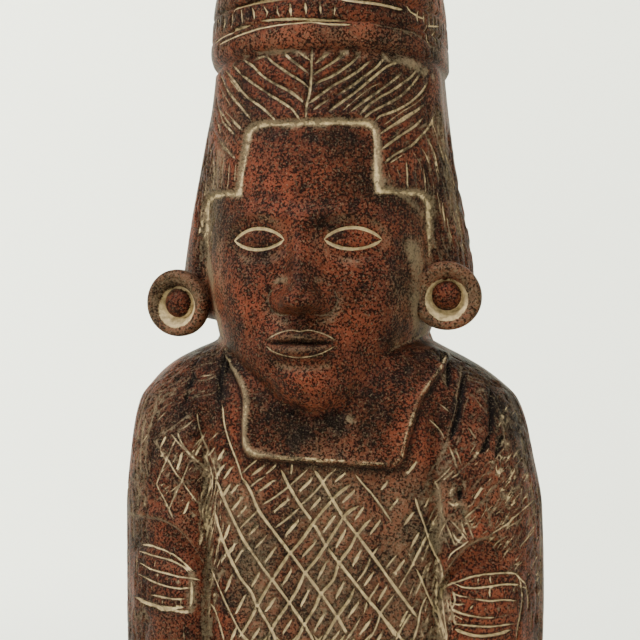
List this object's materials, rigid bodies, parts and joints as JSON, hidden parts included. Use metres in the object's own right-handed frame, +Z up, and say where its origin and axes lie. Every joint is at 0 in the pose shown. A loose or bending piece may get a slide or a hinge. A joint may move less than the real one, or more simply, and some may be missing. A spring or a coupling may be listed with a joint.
{
  "type": "terracotta figure",
  "caption": "Burnished terracotta figure of a standing person in a long tunic and tiered headdress, with disc ear spools, a plain bib and incised lattice cloth, on a low oval base.",
  "frame": {"origin": "on the underside of the base, under the axis of the figure's body", "axes": "+Z up through the headdress, -Y the way the figure faces, +X its left-hand side"},
  "size_m": [0.184, 0.12, 0.5001],
  "materials": {
    "terracotta": null
  },
  "bodies": {
    "root": {"figure": "terracotta"}
  },
  "joints": []
}
